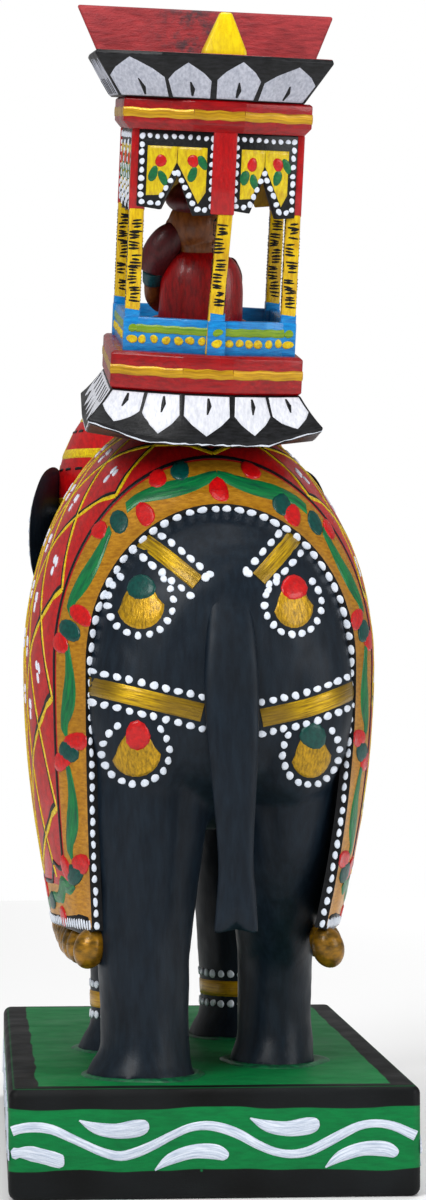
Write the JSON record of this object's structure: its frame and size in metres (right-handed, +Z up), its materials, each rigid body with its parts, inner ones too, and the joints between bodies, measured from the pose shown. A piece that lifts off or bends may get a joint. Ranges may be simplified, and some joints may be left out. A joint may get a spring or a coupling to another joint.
{
  "type": "painted wooden elephant figurine",
  "caption": "Painted wooden elephant standing on a block, carrying a howdah with pillars, curtains, flared roof and a seated rider.",
  "frame": {"origin": "middle of the block's underside", "axes": "+Z up, +Y the way the elephant faces (along the long side of the block), +X to the elephant's right"},
  "size_m": [0.076, 0.152, 0.2339],
  "materials": {
    "body_black": "satin slate-black paint on carved wood",
    "cloth_red": "red enamel paint on carved wood, with painted lines",
    "border_gold": "brushed gold paint on wood",
    "dot_white": "raised white paint dots",
    "leaf_green": "green enamel paint",
    "base_green": "green enamel paint on a wooden block",
    "base_black": "black paint on wood",
    "moulding_red": "glossy red enamel paint",
    "lotus_black": "black enamel paint",
    "petal_white": "white enamel paint",
    "rail_blue": "blue enamel paint",
    "post_yellow": "yellow enamel paint with black brush marks",
    "curtain_yellow": "yellow enamel paint with a black border",
    "crest_red": "matt red paint, brushed on thinly",
    "finial_yellow": "yellow enamel paint",
    "bell_gold": "gold-brown paint on turned wood",
    "tusk_ivory": "cream enamel paint",
    "skin_brown": "satin brown paint",
    "robe_red": "red enamel paint",
    "turban_maroon": "maroon paint",
    "bare_wood": "unfinished wood dowel"
  },
  "bodies": {
    "root": {"base_board": "base_green", "bells_left": "bell_gold", "bells_right": "bell_gold", "body": "body_black", "cloth_left": "cloth_red", "cloth_right": "cloth_red", "cornice": "lotus_black", "crest_board": "crest_red", "curtain_front_left": "curtain_yellow", "curtain_front_right": "curtain_yellow", "curtain_left": "curtain_yellow", "curtain_rear_left": "curtain_yellow", "curtain_rear_right": "curtain_yellow", "curtain_right": "curtain_yellow", "ear_left": "body_black", "ear_right": "body_black", "finial": "finial_yellow", "foot_pegs": "bare_wood", "foot_putty": "base_green", "head": "body_black", "howdah_pegs": "bare_wood", "leg_front_left": "body_black", "leg_front_right": "body_black", "leg_rear_left": "body_black", "leg_rear_right": "body_black", "lotus_plate": "lotus_black", "lower_moulding": "moulding_red", "neck_dowel": "bare_wood", "pillar_front_centre": "post_yellow", "pillar_front_left": "post_yellow", "pillar_front_right": "post_yellow", "pillar_rear_centre": "post_yellow", "pillar_rear_left": "post_yellow", "pillar_rear_right": "post_yellow", "rail_front_left": "rail_blue", "rail_front_right": "rail_blue", "rail_left": "rail_blue", "rail_rear_left": "rail_blue", "rail_rear_right": "rail_blue", "rail_right": "rail_blue", "rider_arm_left": "turban_maroon", "rider_arm_right": "turban_maroon", "rider_head": "skin_brown", "rider_lap": "robe_red", "rider_torso": "robe_red", "rider_turban": "turban_maroon", "tail": "body_black", "tail_dowel": "bare_wood", "trunk": "body_black", "trunk_dowel": "bare_wood", "tusk_left": "tusk_ivory", "tusk_right": "tusk_ivory", "upper_moulding": "moulding_red"}
  },
  "joints": []
}
